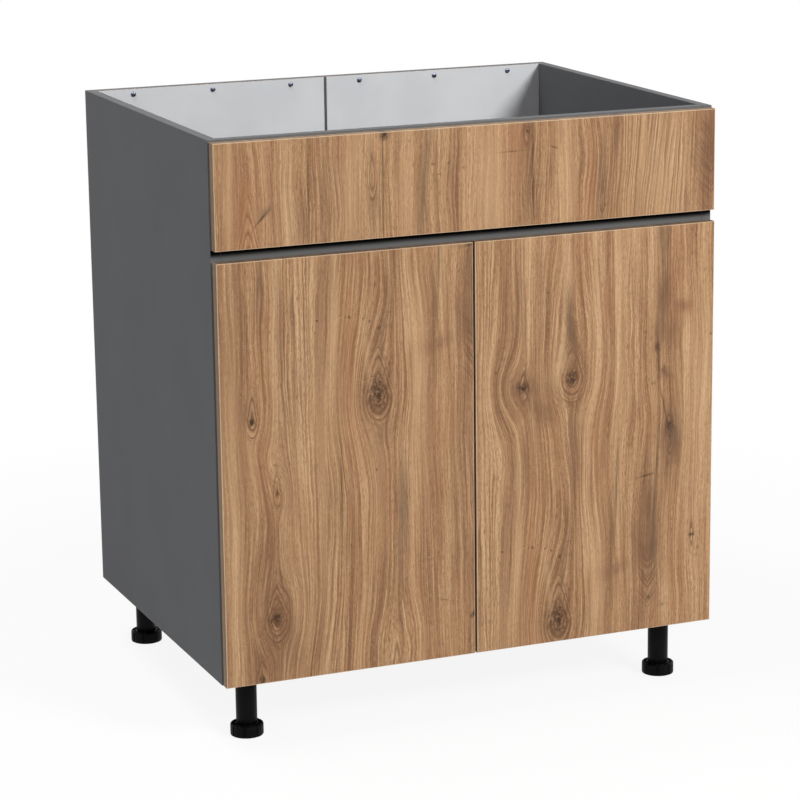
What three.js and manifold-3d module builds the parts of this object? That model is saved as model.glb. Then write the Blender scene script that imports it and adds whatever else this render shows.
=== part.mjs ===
// Sink base cabinet, 80 cm wide: open top, fixed false front over a grip slot, two doors on
// concealed hinges, four adjustable legs. Millimetres, X right, Y to the wall, Z up.
// The origin lies on the floor, under the middle of the whole cabinet.
import * as THREE from "three";
import { mergeVertices } from "three/addons/utils/BufferGeometryUtils.js";
import Module from "manifold-3d";

const wasm = await Module();
wasm.setup();

// ---- carcass ----
const cabinetWidth = 800;
const carcassDepth = 600;
const carcassHeight = 805;
const boardThickness = 16;
const boardEase = 0.5;
const clearance = 0.3;

// ---- back ----
const backThickness = 3;
const backGrooveDepth = 8;
const rearRailHeight = 100;
const stripBeadWidth = 4;
const stripBeadHeight = 0.9;
const stripWebWidth = 1.6;
const backScrewDrop = 8.5;
const backScrewFirst = 60;
const backScrewEndInset = 58;
const backScrewPairs = 3;

// ---- fronts ----
const frontThickness = 16;
const frontEase = 1.2;
const bumperGap = 1.5;
const sideReveal = 2;
const middleGap = 3;
const falseFrontDrop = 3;
const falseFrontHeight = 154;
const gripSlot = 17;
const doorBottomReveal = 0;
const railOverlap = 20;
const falseFrontScrewInset = 150;
const falseFrontScrewRise = 40;

// ---- joining hardware ----
const camRadius = 7.5;
const camHeight = 12.5;
const camDistance = 34;
const camSlotWidth = 1.4;
const camSlotLength = 8;
const camSlotDepth = 2.5;
const boltShankRadius = 2.5;
const boltThreadRadius = 3;
const boltThreadLength = 10.5;
const cornerJointInset = 60;

// ---- legs ----
const legHeight = 100;
const legSideInset = 55.5;
const legFrontInset = 54;
const legRearInset = 52;
const socketPlateSize = 64;
const socketPlateThickness = 3.5;
const socketPlateCorner = 8;
const socketSleeveWall = 3;
const socketSleeveHeight = 13;
const socketScrewOffset = 24;
const legTubeRadius = 16;
const legTubeWall = 2.6;
const legTubeFlats = 12;
const legNutHeight = 12;
const footRadius = 25;
const footHeight = 18;
const footEase = 1.5;
const footNotches = 8;
const footNotchWidth = 3;
const footNotchDepth = 1.6;
const stemRadius = 9;
const stemLength = 52;

// ---- screws: the back's are whole pieces, and the others only leave their holes ----
const backScrew = { head: 4.2, rise: 2.6, shank: 1.6, length: 14 };
const socketScrew = { shank: 1.9, length: 13 };
const falseFrontScrew = { shank: 2, length: 29 };

// ---- places worked out from the sizes above ----
const halfWidth = cabinetWidth / 2;
const innerHalf = halfWidth - boardThickness;
const backGrooveInset = boardThickness + backThickness;
const backFace = carcassDepth - backGrooveInset;
const backRear = carcassDepth - boardThickness;
const falseFrontTop = carcassHeight - falseFrontDrop;
const falseFrontBottom = falseFrontTop - falseFrontHeight;
const doorTop = falseFrontBottom - gripSlot;
const doorBottom = doorBottomReveal;
const doorBack = -bumperGap;
const frontRailBottom = doorTop - railOverlap;
const doorOuter = halfWidth - sideReveal;
const doorInner = middleGap / 2;
const rearRailBottom = carcassHeight - rearRailHeight;
const overallDepth = carcassDepth + bumperGap + frontThickness;

// ---- concealed hinges ----
// Seen from above: u runs inward from the cabinet's outer side face, v runs to the wall from the
// carcass front, w runs up from the hinge's own middle. The two links lie one above the other.
const hingeInset = 100;
const seatGap = 0.2;
const cupTab = 3;
const cupRadius = 17.5;
const cupWall = 0.8;
const cupDepth = 11.8;
const cupFlangeThickness = 1;
const cupFlangeRadius = 19;
const cupEarSpacing = 45;
const cupEarSetback = 9.5;
const cupEarRadius = 6;
const cupScrew = { shank: 1.7, length: 11 };
const plateScrewSpacing = 32;
const plateSetback = 37;
const plateBaseThickness = 2.5;
const plateBaseFront = 20;
const plateBaseRear = 66;
const plateWingReach = 24;
const plateWingWidth = 15;
const plateBlockFront = 26;
const plateBlockRear = 64;
const plateBlockHalf = 6.8;
const plateScrew = { shank: 1.9, length: 12 };
const adjustScrew = { shank: 1.9, length: 9 };
const adjustSetbacks = [33, 58];
const armSheet = 1.5;
const armRear = 70;
const armNoseTop = 40.7;
const armRearTop = 30.5;
const armFront = 1.5;
const armShoulder = [14.5, 23];
const armFoot = 19.5;
const cheekInner = 7.4;
const cheekOuter = 9;
const linkGap = 0.4;
const linkReach = 7;
const linkHalfWidth = 1.2;
const outerLinkPivot = [36, 4.3];
const outerCupPivot = [10.2, -3.3];
const outerLinkBow = [17, -6.2];
const innerLinkPivot = [25, -4.5];
const innerCupPivot = [10.2, -5.6];
const innerLinkBow = [15.2, -10.7];
const cupPinRadius = 0.9;
const cupEyeRadius = 2.2;
const armPinRadius = 1.2;
const armPinHead = 1.9;
const armPinHeadHeight = 0.8;
const armEyeRadius = 2.7;
const loosePivotPlay = 0.5;

// ---- materials ----
function finish(color, roughness, metalness = 0) {
  return new THREE.MeshStandardMaterial({ color, roughness, metalness });
}
const anthracite = finish("#5b5c5e", 0.55);
const oakDecor = finish("#b5926c", 0.6);
const whiteBoard = finish("#c8c9cb", 0.5);
const darkStrip = finish("#2b2a2a", 0.5);
const nickel = finish("#b9bbbe", 0.3, 1);
const zinc = finish("#9ea1a4", 0.4, 1);
const blackPlastic = finish("#0c0c0d", 0.45);

// ---- geometry helpers ----
const roundSides = 16;
const smallSides = 8;
const cabinet = new THREE.Group();
cabinet.position.set(0, frontThickness + bumperGap - overallDepth / 2, legHeight);

function toSolid(geometry) {
  const bare = geometry.clone();
  bare.deleteAttribute("normal");
  bare.deleteAttribute("uv");
  const merged = mergeVertices(bare, 1e-4);
  const corners = merged.index.array;
  const triangles = [];
  for (let i = 0; i < corners.length; i += 3) {
    const [a, b, c] = corners.slice(i, i + 3);
    if (a !== b && b !== c && c !== a) triangles.push(a, b, c);
  }
  return new wasm.Manifold(new wasm.Mesh({
    numProp: 3,
    vertProperties: new Float32Array(merged.attributes.position.array),
    triVerts: new Uint32Array(triangles),
  }));
}

function toGeometry(solid) {
  const mesh = solid.getMesh();
  const geometry = new THREE.BufferGeometry();
  geometry.setAttribute("position", new THREE.BufferAttribute(mesh.vertProperties, 3));
  geometry.setIndex(new THREE.BufferAttribute(mesh.triVerts, 1));
  geometry.computeVertexNormals();
  return geometry;
}

function block(x0, x1, y0, y1, z0, z1) {
  const box = new THREE.BoxGeometry(x1 - x0, y1 - y0, z1 - z0);
  return toSolid(box.translate((x0 + x1) / 2, (y0 + y1) / 2, (z0 + z1) / 2));
}

// A round bar along X, Y or Z from start to end; a and b place its axis in the other two directions.
function bar(axis, radius, start, end, a, b, sides = smallSides) {
  const rod = new THREE.CylinderGeometry(radius, radius, end - start, sides);
  const middle = (start + end) / 2;
  if (axis === "x") rod.rotateZ(-Math.PI / 2).translate(middle, a, b);
  if (axis === "y") rod.translate(a, middle, b);
  if (axis === "z") rod.rotateX(Math.PI / 2).translate(a, b, middle);
  return toSolid(rod);
}

// An outline in X and Y, given as points, raised from z0 to z1.
function slab(points, z0, z1) {
  const shape = new THREE.Shape(points.map(([x, y]) => new THREE.Vector2(x, y)));
  const raised = new THREE.ExtrudeGeometry(shape, { depth: z1 - z0, bevelEnabled: false });
  return toSolid(raised.translate(0, 0, z0));
}

function union(solids) {
  return solids.reduce((whole, solid) => whole.add(solid));
}

function cutAll(solid, tools) {
  return tools.reduce((left, tool) => left.subtract(tool), solid);
}

// A board whose two large faces have an eased edge. Its length and width lie along the first two
// axes given and its thickness along the third; low is its lowest corner.
const axisOf = {
  x: new THREE.Vector3(1, 0, 0),
  y: new THREE.Vector3(0, 1, 0),
  z: new THREE.Vector3(0, 0, 1),
  minusY: new THREE.Vector3(0, -1, 0),
};

function easedBoard(axes, size, low, ease, steps) {
  const [length, width, thickness] = size;
  const shape = new THREE.Shape();
  shape.moveTo(0, 0).lineTo(length, 0).lineTo(length, width).lineTo(0, width);
  const raised = new THREE.ExtrudeGeometry(shape, {
    depth: thickness - 2 * ease,
    bevelThickness: ease,
    bevelSize: ease,
    bevelOffset: -ease,
    bevelSegments: steps,
  });
  raised.translate(0, 0, ease);
  const [first, second, third] = axes.map((axis) => axisOf[axis]);
  raised.applyMatrix4(new THREE.Matrix4().makeBasis(first, second, third));
  return toSolid(raised.translate(...low));
}

// Mirrors a geometry across X = 0 and turns its triangles round, so that it still faces outward.
function mirrored(geometry) {
  const copy = geometry.clone().scale(-1, 1, 1);
  const index = copy.index.array.slice();
  for (let i = 0; i < index.length; i += 3) {
    [index[i + 1], index[i + 2]] = [index[i + 2], index[i + 1]];
  }
  copy.setIndex(new THREE.BufferAttribute(index, 1));
  copy.computeVertexNormals();
  return copy;
}

function place(name, geometry, material, x = 0, y = 0, z = 0) {
  const mesh = new THREE.Mesh(geometry, material);
  mesh.name = name;
  mesh.position.set(x, y, z);
  cabinet.add(mesh);
}

function placeSolid(name, solid, material) {
  place(name, toGeometry(solid), material);
}

// A screw along +Y: its head sits on y = 0 toward -Y and its shank runs into +Y.
function screwGeometry({ head, rise, shank, length }) {
  const profile = [
    [0, -rise],
    [head * 0.55, -rise],
    [head * 0.9, -rise * 0.6],
    [head, 0],
    [shank, 0],
    [shank, length - shank],
    [0, length],
  ];
  return new THREE.LatheGeometry(profile.map(([r, y]) => new THREE.Vector2(r, y)), 10);
}

// ---- where screws and cams go ----
const backScrewPlaces = [];
const backScrewPitch = (innerHalf - backScrewEndInset - backScrewFirst) / (backScrewPairs - 1);
for (let i = 0; i < backScrewPairs; i += 1) {
  const x = backScrewFirst + i * backScrewPitch;
  backScrewPlaces.push({ name: `left_${i + 1}`, x: -x, z: carcassHeight - backScrewDrop });
  backScrewPlaces.push({ name: `right_${i + 1}`, x, z: carcassHeight - backScrewDrop });
}

// A cam joint holds a board's end to a side panel. Its cam is turned from the board's face.
const railMiddle = (frontRailBottom + carcassHeight) / 2;
const rearRailMiddle = (rearRailBottom + carcassHeight) / 2;
const boardMiddle = boardThickness / 2;
const camJoints = [];
for (const [end, side] of [["left", -1], ["right", 1]]) {
  const rearJoint = carcassDepth - cornerJointInset;
  camJoints.push(
    { name: `bottom_front_${end}`, board: "bottom", side, y: cornerJointInset, z: boardMiddle },
    { name: `bottom_rear_${end}`, board: "bottom", side, y: rearJoint, z: boardMiddle },
    { name: `front_rail_${end}`, board: "frontRail", side, y: boardMiddle, z: railMiddle },
    { name: `rear_rail_${end}`, board: "rearRail", side, y: backRear + boardMiddle, z: rearRailMiddle },
  );
}

function between(a, b) {
  return [Math.min(a, b), Math.max(a, b)];
}

// A bar along X between two distances from the middle, on the joint's own side.
function sideBar(joint, radius, from, to, sides = smallSides) {
  const [start, end] = between(joint.side * from, joint.side * to);
  return bar("x", radius, start, end, joint.y, joint.z, sides);
}

// The cam itself, or its pocket when grown by the clearance: from the face where it is turned.
function camBody(joint, grow) {
  const x = joint.side * (innerHalf - camDistance);
  const radius = camRadius + grow;
  if (joint.board === "bottom") return bar("z", radius, -grow, camHeight + grow, x, joint.y, roundSides);
  if (joint.board === "frontRail") {
    const face = boardThickness;
    return bar("y", radius, face - camHeight - grow, face + grow, x, joint.z, roundSides);
  }
  return bar("y", radius, carcassDepth - camHeight - grow, carcassDepth + grow, x, joint.z, roundSides);
}

// A cam with its bolt: the cam's screwdriver slot shows on the board's face.
function camFitting(joint) {
  const x = joint.side * (innerHalf - camDistance);
  const half = camSlotLength / 2;
  const width = camSlotWidth / 2;
  const railFace = joint.board === "frontRail" ? boardThickness : carcassDepth;
  const slot = joint.board === "bottom"
    ? block(x - half, x + half, joint.y - width, joint.y + width, -1, camSlotDepth)
    : block(x - half, x + half, railFace - camSlotDepth, railFace + 1, joint.z - width, joint.z + width);
  const shank = sideBar(joint, boltShankRadius, innerHalf - camDistance, innerHalf + 1);
  const thread = sideBar(joint, boltThreadRadius, innerHalf, innerHalf + boltThreadLength);
  return union([camBody(joint, 0).subtract(slot), shank, thread]);
}

// What a board's end gives up for its cams and bolts.
function endCuts(board) {
  const joints = camJoints.filter((joint) => joint.board === board);
  const pockets = joints.map((joint) => camBody(joint, clearance));
  const bores = joints.map((joint) => (
    sideBar(joint, boltShankRadius + clearance, innerHalf - camDistance, innerHalf + 1)
  ));
  return [...pockets, ...bores];
}

// ---- legs: where they stand, and their socket screws ----
const legs = [];
for (const [end, side] of [["left", -1], ["right", 1]]) {
  const x = side * (halfWidth - legSideInset);
  legs.push({ name: `front_${end}`, x, y: legFrontInset });
  legs.push({ name: `rear_${end}`, x, y: carcassDepth - legRearInset });
}
const socketScrewPlaces = legs.flatMap(({ x, y }) => (
  [[-1, -1], [1, -1], [1, 1], [-1, 1]].map(([i, j]) => (
    [x + i * socketScrewOffset, y + j * socketScrewOffset]
  ))
));

// ---- hinges: where they sit ----
const hinges = [];
for (const [end, side] of [["left", -1], ["right", 1]]) {
  hinges.push({ end, side, level: "lower", z: doorBottom + hingeInset });
  hinges.push({ end, side, level: "upper", z: doorTop - hingeInset });
}
const cupMiddle = sideReveal + cupTab + cupRadius;
const plateScrewPlaces = (hinge) => [-1, 1].map((i) => [
  plateSetback,
  hinge.z + i * plateScrewSpacing / 2,
]);
const cupScrewPlaces = (hinge) => [-1, 1].map((i) => [
  hinge.side * (halfWidth - cupMiddle - cupEarSetback),
  hinge.z + i * cupEarSpacing / 2,
]);

// ---- carcass ----
function sidePanel(side) {
  const low = [side < 0 ? -halfWidth : innerHalf, 0, 0];
  const panel = easedBoard(["y", "z", "x"], [carcassDepth, carcassHeight, boardThickness], low, boardEase, 1);
  const [grooveStart, grooveEnd] = between(side * (innerHalf - 1), side * (innerHalf + backGrooveDepth));
  const groove = block(
    grooveStart, grooveEnd,
    backFace - clearance, backRear + clearance,
    -1, carcassHeight + 1,
  );
  const threads = camJoints.filter((joint) => joint.side === side).map((joint) => (
    sideBar(joint, boltThreadRadius + clearance, innerHalf - 1, innerHalf + boltThreadLength + clearance)
  ));
  const pilots = hinges.filter((hinge) => hinge.side === side).flatMap(plateScrewPlaces).map(([y, z]) => {
    const depth = plateScrew.length - plateBaseThickness + clearance;
    return sideBar({ side, y, z }, plateScrew.shank + clearance, innerHalf - 1, innerHalf + depth);
  });
  return cutAll(panel, [groove, ...threads, ...pilots]);
}

function bottomPanel() {
  const panel = block(-innerHalf, innerHalf, 0, carcassDepth, 0, boardThickness);
  const groove = block(
    -innerHalf - 1, innerHalf + 1,
    backFace - clearance, backRear + clearance,
    boardThickness - backGrooveDepth, boardThickness + 1,
  );
  const pilots = socketScrewPlaces.map(([x, y]) => (
    bar("z", socketScrew.shank + clearance, -1,
      socketScrew.length - socketPlateThickness + clearance, x, y)
  ));
  return cutAll(panel, [groove, ...endCuts("bottom"), ...pilots]);
}

const falseFrontScrewPlaces = [];
for (const x of [-halfWidth + falseFrontScrewInset, halfWidth - falseFrontScrewInset]) {
  for (const z of [falseFrontBottom + falseFrontScrewRise, falseFrontTop - falseFrontScrewRise]) {
    falseFrontScrewPlaces.push([x, z]);
  }
}

function frontRail() {
  const rail = block(-innerHalf, innerHalf, 0, boardThickness, frontRailBottom, carcassHeight);
  const holes = falseFrontScrewPlaces.map(([x, z]) => (
    bar("y", falseFrontScrew.shank + clearance, -1, boardThickness + 1, x, z)
  ));
  return cutAll(rail, [...endCuts("frontRail"), ...holes]);
}

function rearRail() {
  const rail = block(-innerHalf, innerHalf, backRear, carcassDepth, rearRailBottom, carcassHeight);
  const depth = backScrew.length - backThickness + clearance;
  const holes = backScrewPlaces.map(({ x, z }) => (
    bar("y", backScrew.shank + clearance, backRear - 1, backRear + depth, x, z)
  ));
  return cutAll(rail, [...endCuts("rearRail"), ...holes]);
}

function backPanel(side) {
  const edge = innerHalf + backGrooveDepth - clearance;
  const [start, end] = between(side * (stripWebWidth / 2 + clearance), side * edge);
  const sheet = block(
    start, end,
    backFace, backRear,
    boardThickness - backGrooveDepth + clearance, carcassHeight,
  );
  const holes = backScrewPlaces.filter(({ x }) => x * side > 0).map(({ x, z }) => (
    bar("y", backScrew.shank + clearance, backFace - 1, backRear + 1, x, z)
  ));
  return cutAll(sheet, holes);
}

// A T-shaped strip: its web parts the two halves of the back and its bead covers the joint.
function jointStrip() {
  const web = block(
    -stripWebWidth / 2, stripWebWidth / 2,
    backFace - clearance / 2, backRear,
    boardThickness - backGrooveDepth + clearance, carcassHeight,
  );
  const bead = block(
    -stripBeadWidth / 2, stripBeadWidth / 2,
    backFace - stripBeadHeight, backFace,
    boardThickness + clearance, carcassHeight,
  );
  return web.add(bead);
}

for (const [end, side] of [["left", -1], ["right", 1]]) {
  placeSolid(`side_panel_${end}`, sidePanel(side), anthracite);
  placeSolid(`back_panel_${end}`, backPanel(side), whiteBoard);
}
placeSolid("bottom_panel", bottomPanel(), anthracite);
placeSolid("front_rail", frontRail(), anthracite);
placeSolid("rear_rail", rearRail(), anthracite);
placeSolid("back_joint_strip", jointStrip(), darkStrip);
for (const { name, x, z } of backScrewPlaces) {
  place(`back_screw_${name}`, screwGeometry(backScrew), nickel, x, backFace, z);
}
for (const joint of camJoints) {
  placeSolid(`cam_fitting_${joint.name}`, camFitting(joint), zinc);
}

// ---- false front ----
function falseFront() {
  const width = 2 * doorOuter;
  const low = [-doorOuter, 0, falseFrontBottom];
  const size = [width, falseFrontHeight, frontThickness];
  const board = easedBoard(["x", "z", "minusY"], size, low, frontEase, 2);
  const depth = falseFrontScrew.length - boardThickness + clearance;
  const pilots = falseFrontScrewPlaces.map(([x, z]) => (
    bar("y", falseFrontScrew.shank + clearance, -depth, 1, x, z)
  ));
  return cutAll(board, pilots);
}
placeSolid("false_front", falseFront(), oakDecor);

// ---- legs ----
// Socket, tube and foot are modelled round their own axis, with z = 0 at the carcass underside.
function roundedSquare(size, corner) {
  const half = size / 2;
  const shape = new THREE.Shape();
  shape.moveTo(half, corner - half);
  shape.absarc(half - corner, half - corner, corner, 0, Math.PI / 2);
  shape.absarc(corner - half, half - corner, corner, Math.PI / 2, Math.PI);
  shape.absarc(corner - half, corner - half, corner, Math.PI, 1.5 * Math.PI);
  shape.absarc(half - corner, corner - half, corner, 1.5 * Math.PI, 2 * Math.PI);
  return shape;
}

function legSocket() {
  const flat = roundedSquare(socketPlateSize, socketPlateCorner);
  const plate = new THREE.ExtrudeGeometry(flat, {
    depth: socketPlateThickness,
    bevelEnabled: false,
    curveSegments: 4,
  }).translate(0, 0, -socketPlateThickness);
  const inside = legTubeRadius + clearance;
  const sleeveLow = -socketPlateThickness - socketSleeveHeight;
  const sleeve = bar("z", inside + socketSleeveWall, sleeveLow, -1, 0, 0, roundSides);
  const bore = bar("z", inside / Math.cos(Math.PI / roundSides), sleeveLow - 1, -socketPlateThickness,
    0, 0, roundSides);
  const holes = [[-1, -1], [1, -1], [1, 1], [-1, 1]].map(([i, j]) => (
    bar("z", socketScrew.shank + clearance, -socketPlateThickness - 1, 1,
      i * socketScrewOffset, j * socketScrewOffset)
  ));
  return toGeometry(cutAll(toSolid(plate).add(sleeve), [bore, ...holes]));
}

const footTop = footHeight - legHeight;
const tubeTop = -socketPlateThickness - clearance;
const tubeBottom = footTop + clearance;

function legTube() {
  const outer = bar("z", legTubeRadius, tubeBottom, tubeTop, 0, 0, legTubeFlats);
  const bore = bar("z", legTubeRadius - legTubeWall, tubeBottom + legNutHeight, tubeTop + 1, 0, 0,
    legTubeFlats);
  const nut = bar("z", stemRadius + 2 * clearance, tubeBottom - 1, tubeTop, 0, 0, roundSides);
  return toGeometry(cutAll(outer, [bore, nut]));
}

// The foot: a disc with grip notches round its rim, and the stem that turns in the tube.
function foot() {
  const shape = new THREE.Shape();
  const halfNotch = Math.asin(footNotchWidth / 2 / footRadius);
  const inner = footRadius - footNotchDepth;
  for (let i = 0; i < footNotches; i += 1) {
    const start = 2 * Math.PI * i / footNotches;
    const end = 2 * Math.PI * (i + 1) / footNotches;
    shape.absarc(0, 0, footRadius, start + halfNotch, end - halfNotch);
    shape.lineTo(inner * Math.cos(end - halfNotch), inner * Math.sin(end - halfNotch));
    shape.lineTo(inner * Math.cos(end + halfNotch), inner * Math.sin(end + halfNotch));
  }
  const disc = new THREE.ExtrudeGeometry(shape, {
    depth: footHeight - 2 * footEase,
    bevelThickness: footEase,
    bevelSize: footEase,
    bevelOffset: -footEase,
    bevelSegments: 1,
    curveSegments: 4,
  }).translate(0, 0, footEase - legHeight);
  const stem = bar("z", stemRadius, -legHeight + 1, footTop + stemLength, 0, 0, roundSides);
  return toGeometry(toSolid(disc).add(stem));
}

const socketShape = legSocket();
const tubeShape = legTube();
const footShape = foot();
for (const { name, x, y } of legs) {
  place(`leg_socket_${name}`, socketShape, blackPlastic, x, y);
  place(`leg_tube_${name}`, tubeShape, blackPlastic, x, y);
  place(`foot_${name}`, footShape, blackPlastic, x, y);
}

// ---- doors ----
function door(side) {
  const left = side < 0 ? -doorOuter : doorInner;
  const size = [doorOuter - doorInner, doorTop - doorBottom, frontThickness];
  const board = easedBoard(["x", "z", "minusY"], size, [left, doorBack, doorBottom], frontEase, 2);
  const cups = hinges.filter((hinge) => hinge.side === side);
  const pockets = cups.map((hinge) => (
    bar("y", cupRadius + clearance, doorBack - cupDepth - clearance, doorBack + 1,
      side * (halfWidth - cupMiddle), hinge.z, 2 * roundSides)
  ));
  const depth = cupScrew.length - cupFlangeThickness + clearance;
  const pilots = cups.flatMap(cupScrewPlaces).map(([x, z]) => (
    bar("y", cupScrew.shank + clearance, doorBack - depth, doorBack + 1, x, z)
  ));
  return cutAll(board, [...pockets, ...pilots]);
}

// ---- hinge pieces, for the left side, round u = 0, v = 0, w = 0 ----
// A flat link through the points given, with a round eye at each end.
function link(points, radii, low, high) {
  const parts = points.map(([u, v], i) => bar("z", radii[i], low, high, u, v, roundSides));
  for (let i = 1; i < points.length; i += 1) {
    const [u0, v0] = points[i - 1];
    const [u1, v1] = points[i];
    const length = Math.hypot(u1 - u0, v1 - v0);
    const strap = new THREE.BoxGeometry(length, 2 * linkHalfWidth, high - low);
    strap.rotateZ(Math.atan2(v1 - v0, u1 - u0));
    parts.push(toSolid(strap.translate((u0 + u1) / 2, (v0 + v1) / 2, (low + high) / 2)));
  }
  return union(parts);
}

function eye(radius, [u, v], low, high) {
  return bar("z", radius, low - 1, high + 1, u, v, roundSides);
}

function outerLink() {
  const radii = [cupEyeRadius, linkHalfWidth, armEyeRadius];
  const body = link([outerCupPivot, outerLinkBow, outerLinkPivot], radii, linkGap, linkReach);
  return cutAll(body, [
    eye(cupPinRadius + clearance, outerCupPivot, linkGap, linkReach),
    eye(armPinRadius + clearance, outerLinkPivot, linkGap, linkReach),
  ]);
}

// The inner link's cup eye is wider than its pin: this is where the linkage loop stays open.
function innerLink() {
  const radii = [cupEyeRadius, linkHalfWidth, armEyeRadius];
  const body = link([innerCupPivot, innerLinkBow, innerLinkPivot], radii, -linkReach, -linkGap);
  return cutAll(body, [
    eye(cupPinRadius + clearance + loosePivotPlay, innerCupPivot, -linkReach, -linkGap),
    eye(armPinRadius + clearance, innerLinkPivot, -linkReach, -linkGap),
  ]);
}

// The pressed cup with its two ears. Each pin is riveted in one wall and ends between the links,
// so that the links can pass one another.
function hingeCup() {
  const face = doorBack + cupFlangeThickness;
  const low = doorBack + seatGap;
  const flange = bar("y", cupFlangeRadius, low, face, cupMiddle, 0, 2 * roundSides);
  const bowl = bar("y", cupRadius, doorBack - cupDepth, face, cupMiddle, 0, 2 * roundSides);
  const hollow = bar("y", cupRadius - cupWall, doorBack - cupDepth + cupWall, face + 1, cupMiddle, 0,
    2 * roundSides);
  const earMiddle = cupMiddle + cupEarSetback;
  const half = cupEarSpacing / 2;
  const tongue = block(
    earMiddle - cupEarRadius, earMiddle + cupEarRadius,
    low, face,
    -half, half,
  );
  const ears = [-half, half].map((w) => bar("y", cupEarRadius, low, face, earMiddle, w, roundSides));
  const holes = [-half, half].map((w) => (
    bar("y", cupScrew.shank + clearance, doorBack - 1, face + 1, earMiddle, w)
  ));
  const pinEnd = Math.sqrt(cupRadius ** 2 - (cupMiddle - outerCupPivot[0] + cupPinRadius) ** 2);
  const pins = [
    bar("z", cupPinRadius, linkGap, pinEnd, ...outerCupPivot),
    bar("z", cupPinRadius, -pinEnd, -linkGap, ...innerCupPivot),
  ];
  const shell = cutAll(union([flange, bowl, tongue, ...ears]), [hollow, ...holes]);
  return union([shell, ...pins]);
}

// The arm is a channel that opens toward the side panel, with a rivet in each cheek.
function hingeArm() {
  const [shoulderFront, shoulderRear] = armShoulder;
  const bend = armSheet * 0.5;
  const cheekOutline = [
    [armNoseTop, armFront],
    [armNoseTop, shoulderFront],
    [armRearTop, shoulderRear],
    [armRearTop, armRear],
    [armFoot, armRear],
    [armFoot, plateBaseFront],
    [innerLinkPivot[0] + armSheet, shoulderFront],
    [outerLinkPivot[0] - armEyeRadius, outerLinkPivot[1] + armEyeRadius],
    [outerLinkPivot[0] - armEyeRadius, armFront],
  ];
  const webOutline = [
    [armNoseTop, armFront],
    [armNoseTop, shoulderFront],
    [armRearTop, shoulderRear],
    [armRearTop, armRear],
    [armRearTop - armSheet, armRear],
    [armRearTop - armSheet, shoulderRear - bend],
    [armNoseTop - armSheet, shoulderFront - bend],
    [armNoseTop - armSheet, armFront],
  ];
  const upperCheek = slab(cheekOutline, cheekInner, cheekOuter);
  const lowerCheek = slab(cheekOutline, -cheekOuter, -cheekInner);
  const web = slab(webOutline, -cheekOuter, cheekOuter);
  const noseEnd = bar("z", armEyeRadius, -cheekOuter, -cheekInner, ...innerLinkPivot, roundSides);
  const [u0, v0] = innerLinkPivot;
  const [u1, v1] = outerLinkPivot;
  const strap = new THREE.BoxGeometry(Math.hypot(u1 - u0, v1 - v0), 2 * armEyeRadius, cheekOuter - cheekInner);
  strap.rotateZ(Math.atan2(v1 - v0, u1 - u0));
  strap.translate((u0 + u1) / 2, (v0 + v1) / 2, -(cheekOuter + cheekInner) / 2);
  const holes = adjustSetbacks.map((v) => (
    bar("x", adjustScrew.shank + clearance, plateBlockTop, armRearTop + 1, v, 0)
  ));
  const channel = cutAll(union([upperCheek, lowerCheek, web, noseEnd, toSolid(strap)]), holes);
  const headEnd = cheekOuter + armPinHeadHeight;
  return union([
    channel,
    bar("z", armPinRadius, linkGap, headEnd, ...outerLinkPivot),
    bar("z", armPinHead, cheekOuter - 0.1, headEnd, ...outerLinkPivot),
    bar("z", armPinRadius, -headEnd, -linkGap, ...innerLinkPivot),
    bar("z", armPinHead, -headEnd, 0.1 - cheekOuter, ...innerLinkPivot),
  ]);
}

// The mounting plate: a cross screwed to the side panel, and the block that the arm sits on.
const plateBlockTop = armRearTop - armSheet - clearance;
function hingePlate() {
  const top = boardThickness + plateBaseThickness;
  const low = boardThickness + seatGap;
  const base = block(low, top, plateBaseFront, plateBaseRear, -plateBlockHalf, plateBlockHalf);
  const wings = block(
    low, top,
    plateSetback - plateWingWidth / 2, plateSetback + plateWingWidth / 2,
    -plateWingReach, plateWingReach,
  );
  const saddle = block(low, plateBlockTop, plateBlockFront, plateBlockRear,
    -plateBlockHalf, plateBlockHalf);
  const screwHoles = [-1, 1].map((i) => (
    bar("x", plateScrew.shank + clearance, boardThickness - 1, top + 1, plateSetback,
      i * plateScrewSpacing / 2)
  ));
  const threadHoles = adjustSetbacks.map((v) => (
    bar("x", adjustScrew.shank + clearance, armRearTop - adjustScrew.length - clearance,
      plateBlockTop + 1, v, 0)
  ));
  return cutAll(union([base, wings, saddle]), [...screwHoles, ...threadHoles]);
}

const hingeShapes = {
  hinge_cup: toGeometry(hingeCup()),
  hinge_arm: toGeometry(hingeArm()),
  hinge_plate: toGeometry(hingePlate()),
  outer_link: toGeometry(outerLink()),
  inner_link: toGeometry(innerLink()),
};
for (const { end, side, level, z } of hinges) {
  for (const [name, shape] of Object.entries(hingeShapes)) {
    const turned = side < 0 ? shape : mirrored(shape);
    place(`${name}_${level}_${end}`, turned, nickel, side * halfWidth, 0, z);
  }
}

for (const [end, side] of [["left", -1], ["right", 1]]) {
  placeSolid(`door_${end}`, door(side), oakDecor);
}

export default cabinet;
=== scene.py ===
import math

import bpy
from mathutils import Matrix, Vector


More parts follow.
